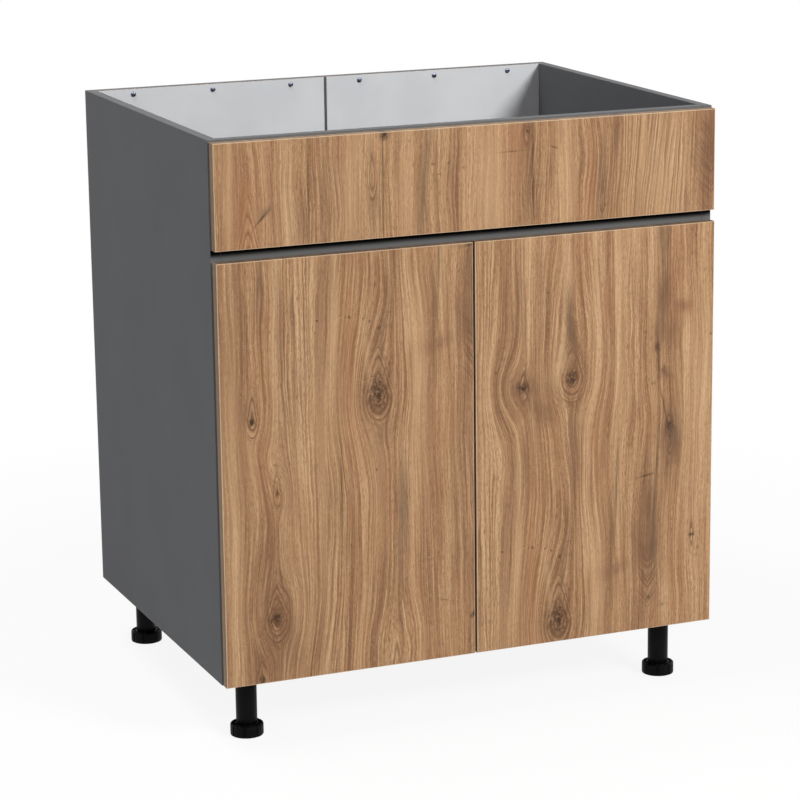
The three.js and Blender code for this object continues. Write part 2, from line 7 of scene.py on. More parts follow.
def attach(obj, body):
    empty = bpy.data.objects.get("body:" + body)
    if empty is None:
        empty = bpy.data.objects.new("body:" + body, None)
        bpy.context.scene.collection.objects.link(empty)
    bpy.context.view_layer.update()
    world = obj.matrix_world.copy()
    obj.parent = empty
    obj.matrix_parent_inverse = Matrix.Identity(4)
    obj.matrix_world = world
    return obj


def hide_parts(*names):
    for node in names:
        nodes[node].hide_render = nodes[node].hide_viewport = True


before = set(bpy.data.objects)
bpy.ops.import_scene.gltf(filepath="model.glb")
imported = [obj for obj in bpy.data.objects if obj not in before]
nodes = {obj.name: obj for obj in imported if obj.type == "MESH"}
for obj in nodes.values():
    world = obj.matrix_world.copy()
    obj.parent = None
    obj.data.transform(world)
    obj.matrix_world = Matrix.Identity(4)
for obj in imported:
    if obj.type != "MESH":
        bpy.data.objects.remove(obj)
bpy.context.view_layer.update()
bpy.ops.object.select_all(action="DESELECT")
print("frame loaded:", len(nodes), "nodes")


# camera, at the photo's viewpoint
camera = {
    "place": (-1.7097, -4.1997, 1.5148),
    "azimuth": 22.825,
    "elevation": 13.505,
    "roll": -0.577,
    "focalPixels": 2952.1,
    "centrePixel": 430,
    "pictureWidth": 800,
    "sensorWidth": 36,
    "clipEnd": 60,
}


def addCamera():
    azimuth = math.radians(camera["azimuth"])
    elevation = math.radians(camera["elevation"])
    forward = Vector((
        math.sin(azimuth) * math.cos(elevation),
        math.cos(azimuth) * math.cos(elevation),
        -math.sin(elevation),
    ))
    right = Vector((math.cos(azimuth), -math.sin(azimuth), 0))
    axes = Matrix((right, right.cross(forward), -forward)).transposed()
    roll = Matrix.Rotation(math.radians(camera["roll"]), 3, "Z")
    bpy.ops.object.camera_add(location=camera["place"], rotation=(axes @ roll).to_euler())
    shot = bpy.context.object
    shot.name = "photoCamera"
    width = camera["pictureWidth"]
    shot.data.sensor_width = camera["sensorWidth"]
    shot.data.lens = camera["focalPixels"] / width * camera["sensorWidth"]
    shot.data.shift_x = (width / 2 - camera["centrePixel"]) / width
    shot.data.clip_end = camera["clipEnd"]
    bpy.context.scene.camera = shot


addCamera()
bpy.context.scene.view_settings.view_transform = "Standard"
print("camera set")


# node helpers

# #rrggbb as Blender's linear colour
def paint(code):
    channels = [int(code[i:i + 2], 16) / 255 for i in (1, 3, 5)]
    linear = [c / 12.92 if c <= 0.04045 else ((c + 0.055) / 1.055) ** 2.4 for c in channels]
    return (*linear, 1)


def feed(socket, value):
    if isinstance(value, bpy.types.NodeSocket):
        socket.id_data.links.new(value, socket)
    else:
        socket.default_value = value


# a new node in the tree that the values come from
def nodeFor(kind, *values):
    sockets = [value for value in values if isinstance(value, bpy.types.NodeSocket)]
    return sockets[0].id_data.nodes.new(kind)


def calc(operation, first, second=0.0):
    node = nodeFor("ShaderNodeMath", first, second)
    node.operation = operation
    feed(node.inputs[0], first)
    feed(node.inputs[1], second)
    return node.outputs[0]


def add(first, second):
    return calc("ADD", first, second)


def less(first, second):
    return calc("SUBTRACT", first, second)


def times(first, second):
    return calc("MULTIPLY", first, second)


def over(first, second):
    return calc("DIVIDE", first, second)


# the larger of two, or the second alone where there is no first yet
def larger(first, second):
    return calc("MAXIMUM", first, second) if first else second


# 1 where the value is past the limit, and 0 elsewhere
def above(value, limit):
    return calc("GREATER_THAN", value, limit)


def below(value, limit):
    return calc("LESS_THAN", value, limit)


def vectorOf(x, y, z=0.0):
    node = nodeFor("ShaderNodeCombineXYZ", x, y, z)
    for socket, value in zip(node.inputs, (x, y, z)):
        feed(socket, value)
    return node.outputs[0]


def grainNoise(vector, detail=2.0, roughness=0.5):
    node = nodeFor("ShaderNodeTexNoise", vector)
    node.inputs["Scale"].default_value = 1
    node.inputs["Detail"].default_value = detail
    node.inputs["Roughness"].default_value = roughness
    feed(node.inputs["Vector"], vector)
    return node.outputs["Fac"]


def smoothStep(value, low, high, start=0.0, end=1.0):
    node = nodeFor("ShaderNodeMapRange", value)
    node.interpolation_type = "SMOOTHSTEP"
    feed(node.inputs["Value"], value)
    node.inputs["From Min"].default_value = low
    node.inputs["From Max"].default_value = high
    node.inputs["To Min"].default_value = start
    node.inputs["To Max"].default_value = end
    return node.outputs["Result"]


def blendColour(amount, first, second):
    node = nodeFor("ShaderNodeMix", amount)
    node.data_type = "RGBA"
    feed(node.inputs[0], amount)
    feed(node.inputs[6], first)
    feed(node.inputs[7], second)
    return node.outputs[2]


def colourRamp(amount, stops):
    node = nodeFor("ShaderNodeValToRGB", amount)
    feed(node.inputs["Fac"], amount)
    points = node.color_ramp.elements
    while len(points) < len(stops):
        points.new(0.5)
    for point, (position, code) in zip(points, stops):
        point.position = position
        point.color = paint(code)
    return node.outputs["Color"]


def startMaterial(name, roughness, metallic=0.0, shine=0.5):
    material = bpy.data.materials.new(name)
    material.use_nodes = True
    tree = material.node_tree
    shader = tree.nodes["Principled BSDF"]
    shader.inputs["Roughness"].default_value = roughness
    shader.inputs["Metallic"].default_value = metallic
    shader.inputs["Specular IOR Level"].default_value = shine
    return material, tree, shader


# the place on the piece in millimetres, as x, y and z
def objectPlace(tree):
    coordinates = tree.nodes.new("ShaderNodeTexCoord")
    scaled = tree.nodes.new("ShaderNodeVectorMath")
    scaled.operation = "SCALE"
    scaled.inputs["Scale"].default_value = 1000
    feed(scaled.inputs[0], coordinates.outputs["Object"])
    parts = tree.nodes.new("ShaderNodeSeparateXYZ")
    feed(parts.inputs[0], scaled.outputs[0])
    return parts.outputs[0], parts.outputs[1], parts.outputs[2]


# noise over the place on the piece, with a scale each for x, y and z
def speckle(tree, scales, detail, roughness=0.5):
    place = [times(value, scale) for value, scale in zip(objectPlace(tree), scales)]
    return grainNoise(vectorOf(*place), detail, roughness)


# which way the surface faces, as x, y and z
def surfaceNormal(tree):
    coordinates = tree.nodes.new("ShaderNodeTexCoord")
    parts = tree.nodes.new("ShaderNodeSeparateXYZ")
    feed(parts.inputs[0], coordinates.outputs["Normal"])
    return parts.outputs


def wear(obj, material):
    obj.data.materials.clear()
    obj.data.materials.append(material)


def bumpFrom(shader, height, strength, distance):
    node = nodeFor("ShaderNodeBump", height)
    node.inputs["Strength"].default_value = strength
    node.inputs["Distance"].default_value = distance
    feed(node.inputs["Height"], height)
    feed(shader.inputs["Normal"], node.outputs["Normal"])


# oak decor: one printed sheet, from which the three fronts are cut;
# places on the sheet are in millimetres, u across and v up
oakSheet = {
    # u, v, width, reach up, reach down, pull, ring width: where the grain parts round a knot
    # and closes above it; a pull of 0 is an arch with no knot
    "knots": [
        (245, 415, 40, 120, 60, 0.8, 36), (49, 400, 20, 80, 40, 0.6, 15), (84, 287, 18, 60, 30, 0.6, 9),
        (80, 98, 34, 90, 60, 0.7, 30), (55, 8, 22, 45, 30, 0.6, 15), (268, -20, 30, 130, 60, 0.4, 18),
        (267, 794, 44, 105, 60, 0.75, 38), (187, 787, 34, 50, 50, 0.45, 16),
        (432, 690, 22, 60, 60, 0.6, 14), (472, 525, 12, 40, 40, 0.5, 6), (1050, -40, 30, 195, 80, 0.45, 36),
        (1240, 92, 16, 60, 60, 0.2, 10), (1484, 142, 14, 40, 40, 0.6, 8), (1608, 30, 14, 110, 40, 0.2, 10),
    ],
    # u, v, radius across, radius up, darkness: the eye of each knot
    "eyes": [
        (244, 418, 20, 32, 0.8), (49, 395, 5, 7, 1.0), (84, 287, 3.5, 4, 0.9), (78, 96, 11, 12, 0.95),
        (55, 6, 6, 9, 0.8), (267, 794, 12, 14, 0.95), (186, 786, 13, 10, 0.85), (410, 827, 6, 7, 0.8),
        (422, 792, 5, 9, 0.5), (432, 700, 9, 18, 0.7), (472, 525, 4.5, 4.5, 0.95), (482, 503, 4, 5, 0.45),
        (423, 419, 3.5, 3.5, 0.7), (398, 432, 3.5, 5, 0.8), (500, 839, 2.2, 2.2, 0.9),
        (142, 813, 2.5, 3, 0.6), (228, 927, 3, 2.5, 0.6), (151, 536, 2, 1.6, 0.8),
        (185, 540, 1.6, 1.6, 0.7), (193, 537, 1.4, 2, 0.6), (201, 536, 2.2, 2.6, 0.85),
        (211, 540, 1.2, 1.4, 0.6), (223, 533, 1.4, 1.6, 0.7), (232, 528, 2, 2.4, 0.85),
        (246, 516, 2.2, 3, 0.8), (240, 305, 1.8, 3, 0.8), (264, 254, 1.6, 2.4, 0.8), (393, 63, 4, 6, 0.85),
        (1260, 149, 6, 8, 0.9), (1484, 142, 6, 8, 0.85), (1335, 102, 2.6, 1.6, 0.7),
        (1344, 87, 2.2, 1.4, 0.7), (1360, 102, 1.6, 2.4, 0.7), (1383, 94, 1.6, 2.6, 0.7),
        (1612, 22, 2, 4, 0.7), (1152, 56, 2, 3, 0.5),
    ],
    # u, v, half width, half height, amount, and the lean and rise of those that slant:
    # stains, cracks and coloured bands, in the order in which they lie on each other
    "stains": {
        "light": [
            (155, 300, 10, 330, 0.4), (15, 320, 16, 330, 0.35), (176, 520, 9, 130, 0.45),
            (228, 470, 6, 60, 0.4, -0.1, 0), (312, 430, 15, 200, 0.4), (240, 280, 14, 110, 0.3),
            (268, 30, 7, 30, 0.4), (262, 950, 9, 45, 0.5), (246, 815, 14, 28, 0.5, 0.3, 0),
            (178, 640, 6, 90, 0.5), (345, 780, 8, 260, 0.3), (478, 760, 26, 120, 0.4),
            (1020, 80, 10, 120, 0.4), (1110, 60, 9, 120, 0.3), (1205, 70, 16, 120, 0.45),
            (1290, 70, 16, 120, 0.35), (1425, 60, 26, 120, 0.55), (1550, 60, 14, 120, 0.4),
            (1700, 70, 50, 120, 0.45),
        ],
        "red": [
            (200, 480, 11, 120, 0.55, 0.02, 0), (212, 350, 9, 60, 0.5, -0.15, 0), (298, 250, 4, 180, 0.4),
            (457, 887, 15, 11, 0.7), (478, 620, 5, 60, 0.5, 0.05, 0), (1050, 50, 22, 80, 0.6),
            (1470, 130, 20, 30, 0.4), (1588, 70, 7, 90, 0.5, 0.02, 0),
        ],
        "grey": [
            (281, 245, 9, 66, 1.0), (276, 190, 7, 60, 0.6, 0.03, 0), (64, 600, 3.5, 35, 0.8, 0.1, 0),
            (252, 500, 4, 50, 0.7, 0.08, 0), (262, 885, 6, 45, 0.85, -0.05, 0),
            (418, 895, 6, 40, 0.9, 0.05, 0), (414, 1005, 6, 35, 0.7), (405, 772, 4, 3, 0.9),
            (402, 520, 12, 50, 0.85), (436, 688, 13, 36, 1.0), (1076, 52, 7, 8, 0.8, 0.6, 0),
            (1318, 60, 6, 110, 0.75, 0.06, 0), (1328, 115, 5, 40, 0.6, 0.06, 0),
            (1607, 60, 6, 70, 0.7, 0.04, 0),
        ],
        "brown": [
            (277, 120, 2.5, 90, 0.7, 0.02, 0), (80, 140, 32, 130, 0.5, -0.05, 0),
            (96, 470, 6, 170, 0.6, -0.03, 0), (100, 300, 16, 90, 0.42, -0.1, 0),
            (43, 520, 3, 120, 0.6, -0.02, 0), (46, 415, 12, 24, 0.7), (95, 60, 26, 60, 0.6, -0.2, 0),
            (52, 26, 14, 36, 0.7), (90, 40, 34, 50, 0.5), (384, 520, 18, 60, 0.75),
            (378, 300, 26, 260, 0.42), (389, 120, 7, 110, 0.8), (400, 500, 12, 60, 0.6),
            (345, 487, 28, 14, 0.6, 0, 0.25), (255, 360, 14, 22, 0.5, 0.3, 0),
            (421, 915, 13, 46, 0.95, 0.05, 0), (423, 975, 8, 60, 0.8, 0.1, 0),
            (449, 888, 14, 9, 0.75, 0, -0.2), (434, 846, 10, 26, 0.6), (413, 842, 11, 40, 0.85),
            (425, 785, 9, 11, 0.9, -0.4, 0), (396, 580, 17, 62, 0.85), (441, 668, 10, 26, 0.8, 0.1, 0),
            (425, 660, 16, 60, 0.45), (335, 535, 6, 70, 0.5), (188, 782, 34, 34, 0.8, -0.2, 0),
            (212, 750, 20, 30, 0.8, -0.5, 0), (200, 700, 12, 70, 0.45), (272, 690, 10, 70, 0.6),
            (180, 940, 7, 90, 0.5), (214, 940, 5, 90, 0.5, 0.03, 0), (1086, 70, 2, 120, 0.7, -0.05, 0),
            (1168, 50, 9, 110, 0.7), (1132, 25, 13, 40, 0.6), (1240, 60, 7, 70, 0.5),
            (1260, 152, 10, 8, 0.7), (1341, 50, 3, 110, 0.7, -0.04, 0), (1365, 80, 12, 60, 0.45),
            (1486, 70, 10, 90, 0.65), (1630, 130, 5, 40, 0.7, 0.12, 0), (1790, 90, 20, 80, 0.95),
        ],
        "dark": [
            (184, 265, 1.8, 90, 0.75, 0.01, 0), (332, 500, 1.8, 60, 0.45),
            (348, 91, 9, 1.4, 0.55, 0, -0.25), (412, 800, 1.5, 36, 0.85, -0.05, 0),
            (422, 735, 1.5, 38, 0.85, -0.22, 0), (408, 610, 2.4, 95, 0.8, 0.06, 0),
            (393, 628, 15, 1.9, 0.95, 0, 0.16), (342, 620, 2.2, 90, 0.6, 0.03, 0),
            (1071, 43, 2.4, 9, 0.95, 0.95, 0), (1142, 70, 1.5, 120, 0.7), (1257, 60, 1.5, 120, 0.85),
            (1459, 112, 16, 0.9, 0.75, 0, 0.02), (1494, 80, 2.6, 90, 0.8),
            (1528, 114, 7, 1.6, 0.7, 0, -0.3),
        ],
    },
    # u, v, half width, half height, shift to the right: where the grain bends aside
    "bends": [
        (232, 410, 42, 95, -17), (60, 345, 26, 40, -9), (95, 280, 30, 60, 8), (112, 100, 26, 80, 10),
        (40, 110, 26, 70, -8), (140, 0, 34, 90, -10), (228, 20, 26, 80, -12), (302, 40, 20, 80, 8),
        (20, 250, 24, 120, 5), (350, 330, 34, 120, -5), (255, 570, 30, 60, 8), (290, 600, 24, 60, -6),
        (180, 260, 34, 110, 6), (158, 782, 32, 52, -17), (170, 650, 40, 90, 9), (228, 800, 26, 60, -9),
        (240, 930, 30, 70, -7), (290, 900, 26, 70, 6), (150, 930, 40, 80, 6), (262, 640, 26, 60, 8),
        (310, 700, 30, 90, -6), (400, 700, 26, 90, 7), (440, 560, 34, 90, -7), (470, 850, 30, 90, 6),
        (120, 620, 30, 120, -6), (1078, 60, 12, 60, 4), (1120, 90, 24, 50, -4), (1180, 50, 30, 50, 4),
        (1350, 60, 30, 50, -5), (1420, 100, 34, 60, 5), (1490, 50, 20, 40, -4), (1600, 90, 30, 60, 6),
    ],
    # u, v, half width, half height, strength: where the growth lines stand out
    "lineFields": [
        (165, 120, 42, 260, 1.0), (165, 560, 26, 130, 0.6), (118, 420, 26, 150, 0.7),
        (210, 470, 34, 120, 0.9), (235, 250, 24, 120, 0.8), (285, 440, 18, 130, 0.9),
        (60, 180, 30, 110, 0.6), (100, 60, 30, 60, 0.7), (30, 520, 22, 120, 0.5), (150, 900, 45, 150, 0.9),
        (130, 560, 40, 130, 0.9), (235, 850, 50, 110, 0.9), (205, 620, 50, 120, 0.7),
        (275, 620, 26, 130, 0.8), (300, 960, 20, 60, 0.5), (385, 880, 18, 120, 0.6),
        (385, 600, 22, 140, 0.5), (470, 700, 20, 160, 0.5), (1048, 70, 26, 110, 0.8),
        (1110, 80, 30, 110, 0.5), (1190, 60, 22, 110, 0.9), (1245, 80, 22, 110, 0.7),
        (1380, 60, 20, 110, 0.5), (1530, 60, 26, 110, 0.7), (1590, 60, 30, 110, 0.8),
        (1690, 80, 80, 150, 1.5), (1050, 20, 26, 90, 1.0), (60, 560, 14, 80, 0.8), (100, 470, 10, 160, 0.9),
        (262, 120, 26, 120, 0.7), (340, 120, 30, 120, 0.35), (150, 740, 30, 60, 0.8),
        (170, 960, 14, 70, 0.9),
    ],
    # u, v, half width, half height, lean: where the grain runs slanting
    "slants": [
        (1700, 80, 60, 160, 0.13), (1215, 80, 30, 160, 0.06), (330, 60, 40, 120, -0.05),
        (150, 120, 40, 160, 0.04),
    ],
    # u, v, half width, half height: feathered grain in chevrons
    "feathers": [
        (396, 480, 19, 62), (1790, 80, 26, 90),
    ],
}
oakFinish = {
    # width, length and place of each streak pattern, then its detail and roughness
    "streaks": {
        "broad": (150, 420, 0, 1), "tight": (38, 130, 3.7, 2), "small": (11, 46, 6.6, 2),
        "bands": (26, 900, 1.3, 2), "middle": (4.5, 330, 3.1, 3, 0.6),
        "fine": (1.2, 70, 9.4, 3, 0.62), "fibres": (0.8, 9, 4.9, 2), "pores": (0.6, 9, 2.2, 1),
        "patches": (42, 190, 6.1, 2), "breaks": (6, 130, 8.3, 2), "rays": (5, 1.1, 12.8, 1),
        "rayFields": (34, 52, 14.2, 1), "ragged": (7, 24, 7.7, 3, 0.6),
        "blotches": (3.2, 4.6, 11.5, 3, 0.65),
    },
    # between which values a pattern sets in, and what it gives below and above them
    "steps": {
        "blush": (0.45, 0.7), "breaks": (0.34, 0.56, 0.45, 1.0), "lines": (0.32, 0.6, 0.55, 1.0),
        "lineRise": (0, 0.16), "lineFall": (0.16, 0.72, 1, 0), "pores": (0.52, 0.68),
        "rays": (0.55, 0.74), "rayFields": (0.45, 0.65, 0.04, 0.3), "stains": (0.3, 0.65, 1.0, 0.6),
        "teeth": (0.42, 0.6), "knots": (0.7, 1.1, 1, 0), "blotches": (0.35, 0.62, 0.45, 1.15),
        "eyes": (0.0, 1.0, 0, 0.96), "paintedHighlight": (0.6, 1.5, 0.8, 0),
        "roughness": (0.2, 0.8, 0.62, 0.5),
    },
    "bandTones": [
        (0.2, "#76523a"), (0.37, "#936d4e"), (0.5, "#ab845f"), (0.62, "#bb9670"), (0.8, "#cba881"),
    ],
    "toneWeights": {"bands": 0.75, "middle": 0.75, "fine": 0.7, "fibres": 0.4},
    "wander": {"broad": 26, "tight": 10, "small": 3},  # how far it carries the grain aside
    "lineColour": "#6b4932", "lineLeast": 0.2, "lineSpacing": 6.4, "linePlace": 5.1,
    "lineSwell": (19, 620, 3, 5),  # width, length, detail and amount
    "ringSpacing": 5.0, "ringPlace": 4.2, "ringWander": 8,
    "ringAmount": 0.9, "ringTip": 0.015, "ringLift": 0.95,
    "blush": "#a5714f", "blushAmount": 0.2, "poreAmount": 0.5,
    "brown": "#70503a", "grey": "#6f5a45", "red": "#9c6b4a", "dark": "#38261a", "light": "#cda980",
    # the arris colour is a painted highlight along the outline of each front
    "eyeColour": "#3b291d", "ray": "#cfae88", "paintedHighlight": "#d2b798", "edgeGrey": "#6d6962",
    "sideways": 0.7, "edgeAmount": 0.5, "edgeDepth": 0.6, "paintedHighlightSides": 0.72,
    "raggedAside": 8, "raggedFibres": 12, "raggedAlong": 6,
    "featherSlope": 1.3, "teeth": (3.2, 22, 0, 1), "featherAmount": 0.95,
    "bump": (0.25, 0.0004), "bumpFine": 0.5, "bumpPores": 1.2,
    "thickness": 16, "roughness": 0.58, "shine": 0.15,
}
oakCuts = {
    # left edge, bottom edge, front face, width and height, and the corner's place on the sheet
    "door_left": (-398, 100, -308.75, 397, 631, 0, 0),
    "door_right": (1.5, 100, -308.75, 397, 631, 109, 382),
    "false_front": (-398, 748, -307.25, 796, 154, 1000, 0),
}


def groupTree(name, inputs, outputs):
    tree = bpy.data.node_groups.new(name, "ShaderNodeTree")
    for socket in inputs:
        tree.interface.new_socket(socket, in_out="INPUT", socket_type="NodeSocketFloat")
    for socket in outputs:
        tree.interface.new_socket(socket, in_out="OUTPUT", socket_type="NodeSocketFloat")
    start = tree.nodes.new("NodeGroupInput")
    end = tree.nodes.new("NodeGroupOutput")
    return tree, start.outputs, end.inputs


# exp(-(across squared + up squared))
def bellOf(across, up):
    total = add(times(across, across), times(up, up))
    return calc("EXPONENT", times(total, -1))


# parts the grain round a knot, and gives the rings that close round it
def knotGroup():
    tree, given, result = groupTree(
        "oakKnot", ["u", "v", "atU", "atV", "width", "above", "below", "pull", "ringWidth"],
        ["shift", "ring", "inside"])
    across = less(given["u"], given["atU"])
    rise = less(given["v"], given["atV"])
    isAbove = above(rise, 0)
    spread = times(isAbove, less(given["above"], given["below"]))
    reach = add(spread, given["below"])
    sides = over(across, given["width"])
    ends = over(rise, reach)
    bell = bellOf(sides, ends)
    pulled = times(times(across, bell), given["pull"])
    feed(result["shift"], times(pulled, -1))
    near = over(across, given["ringWidth"])
    # round below the knot, and drawn out to a point above it
    far = times(ends, less(1, isAbove))
    flat = add(times(far, far), oakFinish["ringTip"])
    away = calc("SQRT", add(times(near, near), flat))
    away = add(away, times(times(ends, isAbove), oakFinish["ringLift"]))
    inside = smoothStep(away, *oakFinish["steps"]["knots"])
    feed(result["inside"], inside)
    ring = add(times(away, given["ringWidth"]), given["atU"])
    feed(result["ring"], times(ring, inside))
    return tree


def stainGroup():
    tree, given, result = groupTree(
        "oakStain", ["u", "v", "atU", "atV", "width", "height", "lean", "rise", "amount"], ["stain"])
    across = less(given["u"], given["atU"])
    up = less(given["v"], given["atV"])
    leaned = less(across, times(up, given["lean"]))
    raised = less(up, times(across, given["rise"]))
    bell = bellOf(over(leaned, given["width"]), over(raised, given["height"]))
    feed(result["stain"], times(bell, given["amount"]))
    return tree


oakGroups = {"knot": knotGroup(), "stain": stainGroup()}


def useGroup(kind, u, v, values):
    node = nodeFor("ShaderNodeGroup", u, v)
    node.node_tree = oakGroups[kind]
    feed(node.inputs[0], u)
    feed(node.inputs[1], v)
    for socket, value in zip(list(node.inputs)[2:], values):
        socket.default_value = value
    return node.outputs


# whether something at that spot of the sheet, with that reach, shows on the front
def inCut(front, spot, reach):
    width, height, fromU, fromV = oakCuts[front][3:]
    u, v = spot
    reachU, reachV = reach
    return fromU - reachU < u < fromU + width + reachU and fromV - reachV < v < fromV + height + reachV


# noise in streaks of that width and length; a third place tells the patterns apart
def streakNoise(across, along, width, length, place, *noise):
    return grainNoise(vectorOf(over(across, width), over(along, length), place), *noise)


# each year's ring: a sharp dark edge that fades away across the ring
def growthLines(across, v, spacing, place):
    width, length, detail, amount = oakFinish["lineSwell"]
    swell = streakNoise(across, v, width, length, place, detail)
    phase = add(over(across, spacing), times(swell, amount))
    part = calc("FRACT", phase)
    rise, fall = (smoothStep(part, *oakFinish["steps"][kind]) for kind in ("lineRise", "lineFall"))
    return calc("MINIMUM", rise, fall)


def oakFront(front):
    finish = oakFinish
    material, tree, shader = startMaterial("oakDecor_" + front, finish["roughness"], shine=finish["shine"])
    x, y, z = objectPlace(tree)
    left, bottom, face, wide, tall, fromU, fromV = oakCuts[front]
    depth = less(y, face)
    # on the upright edges the pattern runs on round the corner
    onSide = above(calc("ABSOLUTE", surfaceNormal(tree)[0]), finish["sideways"])
    u = add(add(x, fromU - left), times(depth, onSide))
    v = add(z, fromV - bottom)

    def streaks(across, kind):
        return streakNoise(across, v, *finish["streaks"][kind])

    def step(value, kind):
        return smoothStep(value, *finish["steps"][kind])

    def centred(value, amount):
        return times(less(value, 0.5), amount)

    def stain(values, acrossIn=u, upIn=v):
        return useGroup("stain", acrossIn, upIn, values)["stain"]

    def tint(base, amount, code):
        return blendColour(amount, base, paint(code))

    # the rows of the sheet that reach this front
    def onFront(rows, reach=2):
        return [row for row in rows if inCut(front, row[:2], (reach * row[2], reach * row[3]))]

    # slow wander of the grain
    tight = streaks(u, "tight")
    grain = u
    for kind, reach in finish["wander"].items():
        grain = add(grain, centred(tight if kind == "tight" else streaks(u, kind), reach))
    for u0, v0, width, height, shift in onFront(oakSheet["bends"]):
        grain = less(grain, stain((u0, v0, width, height, 0, 0, shift)))

    # the grain parts round knots, closes above them in rings, and leans here and there
    ringPlace, ringMask = None, None
    for values in onFront(oakSheet["knots"]):
        knot = useGroup("knot", u, v, values)
        grain = add(grain, knot["shift"])
        ringPlace = larger(ringPlace, knot["ring"])
        ringMask = larger(ringMask, knot["inside"])
    for u0, v0, width, height, lean in onFront(oakSheet["slants"], 1):
        inside = stain((u0, v0, width, height, 0, 0, lean))
        grain = less(grain, times(less(v, v0), inside))

    # broad bands, growth lines, fibres and pores all follow the grain
    fine = streaks(grain, "fine")
    tone = 0.5
    for kind, weight in finish["toneWeights"].items():
        layer = fine if kind == "fine" else streaks(grain, kind)
        tone = add(tone, centred(layer, weight))
    colour = colourRamp(tone, finish["bandTones"])
    blush = times(step(streaks(grain, "patches"), "blush"), finish["blushAmount"])
    colour = tint(colour, blush, finish["blush"])
    lines = growthLines(grain, v, finish["lineSpacing"], finish["linePlace"])
    strong = finish["lineLeast"]
    for u0, v0, width, height, strength in onFront(oakSheet["lineFields"]):
        strong = larger(strong, stain((u0, v0, width, height, 0, 0, strength)))
    strong = times(strong, step(streaks(grain, "breaks"), "breaks"))
    lines = times(lines, strong)
    if ringMask:
        ringGrain = add(ringPlace, centred(tight, finish["ringWander"]))
        rings = growthLines(ringGrain, v, finish["ringSpacing"], finish["ringPlace"])
        rings = times(rings, times(ringMask, finish["ringAmount"]))
        lines = add(times(lines, less(1, ringMask)), rings)
    lines = times(lines, step(fine, "lines"))
    colour = tint(colour, lines, finish["lineColour"])
    poreMarks = times(step(streaks(grain, "pores"), "pores"), finish["poreAmount"])
    colour = tint(colour, poreMarks, finish["lineColour"])
    # short pale rays across the grain
    rays = times(step(streaks(u, "rays"), "rays"), step(streaks(u, "rayFields"), "rayFields"))
    colour = tint(colour, rays, finish["ray"])

    # stains and cracks, with edges that run out along the fibres
    ragged = streaks(u, "ragged")
    raggedU = add(u, add(centred(ragged, finish["raggedAside"]), centred(fine, finish["raggedFibres"])))
    raggedV = add(v, centred(ragged, finish["raggedAlong"]))
    streaky = step(fine, "stains")
    for kind, rows in oakSheet["stains"].items():
        place = (u, v) if kind == "dark" else (raggedU, raggedV)
        marks = None
        for u0, v0, width, height, amount, *slant in onFront(rows):
            lean, rise = slant or (0, 0)
            marks = larger(marks, stain((u0, v0, width, height, lean, rise, amount), *place))
        if marks:
            colour = tint(colour, times(marks, streaky), finish[kind])

    # feathered grain: fine chevrons
    for u0, v0, width, height in onFront(oakSheet["feathers"], 1):
        across = calc("ABSOLUTE", less(u, u0))
        rise = less(v, times(across, finish["featherSlope"]))
        teeth = step(streakNoise(rise, across, *finish["teeth"]), "teeth")
        inside = stain((u0, v0, width, height, 0, 0, finish["featherAmount"]))
        colour = tint(colour, times(teeth, inside), finish["brown"])

    # eyes of the knots: darker towards the middle, blotched and fibrous
    eyes = None
    for u0, v0, radiusU, radiusV, darkness in onFront(oakSheet["eyes"]):
        eye = stain((u0, v0, radiusU, radiusV, 0, 0, darkness), raggedU, raggedV)
        eyes = larger(eyes, eye)
    blotches = step(streaks(u, "blotches"), "blotches")
    colour = tint(colour, step(times(eyes, blotches), "eyes"), finish["eyeColour"])

    # the edge band is greyer, and a pale line of painted highlight runs round the front face's outline,
    # where the eased edge would catch the light
    def fromEdge(place, start, size):
        middle = start + size / 2
        return less(size / 2, calc("ABSOLUTE", less(place, middle)))

    sides = times(fromEdge(x, left, wide), finish["paintedHighlightSides"])
    highlightLine = step(calc("MINIMUM", sides, fromEdge(z, bottom, tall)), "paintedHighlight")
    half = finish["thickness"] / 2
    inEdge = calc("ABSOLUTE", less(depth, half))
    onFace = above(inEdge, half - finish["edgeDepth"])
    colour = tint(colour, times(highlightLine, onFace), finish["paintedHighlight"])
    toneShift = times(less(1, onFace), finish["edgeAmount"])
    colour = tint(colour, toneShift, finish["edgeGrey"])

    feed(shader.inputs["Base Color"], colour)
    relief = less(times(fine, finish["bumpFine"]), times(poreMarks, finish["bumpPores"]))
    bumpFrom(shader, relief, *finish["bump"])
    feed(shader.inputs["Roughness"], step(fine, "roughness"))
    wear(nodes[front], material)


for frontName in oakCuts:
    oakFront(frontName)
print("oak fronts finished")


# boards of the carcass
graniteBoard = {
    "colour": "#626365", "speck": "#757577", "dark": "#545558", "paintedLightTone": "#93938f",
    "roughness": 0.5, "shine": 0.03, "pearl": ((1.1, 1.1, 1.1), 3),
    "pearlStep": (0.45, 0.75, 0, 0.35), "cloud": ((0.008, 0.008, 0.008), 2),
    "cloudStep": (0.3, 0.7, 0, 0.18), "bump": (0.12, 0.0003), "chip": "#a98a64",
    "chipDark": "#6f5538", "chipScale": 0.45, "chipLength": 0.6, "chipStep": (0.1, 0.9),
    "squarely": 0.9,  # how squarely a face has to look that way
    # the band values paint the top edges and the front faces lighter, as light falls on them
    "wallSide": 308.2, "rawBelow": 804, "paintedLightOnTop": 0.06, "paintedLightTopLevel": 895,
    # the slot values paint a shadow into the grip slot, under the false front
    "paintedLightInFront": 0.27, "paintedLightFrontSide": -288, "paintedSlotShadow": "#020202",
    "paintedShadowLevels": (732.5, 743), "paintedShadowTop": 748, "paintedShadowSide": -280,
}


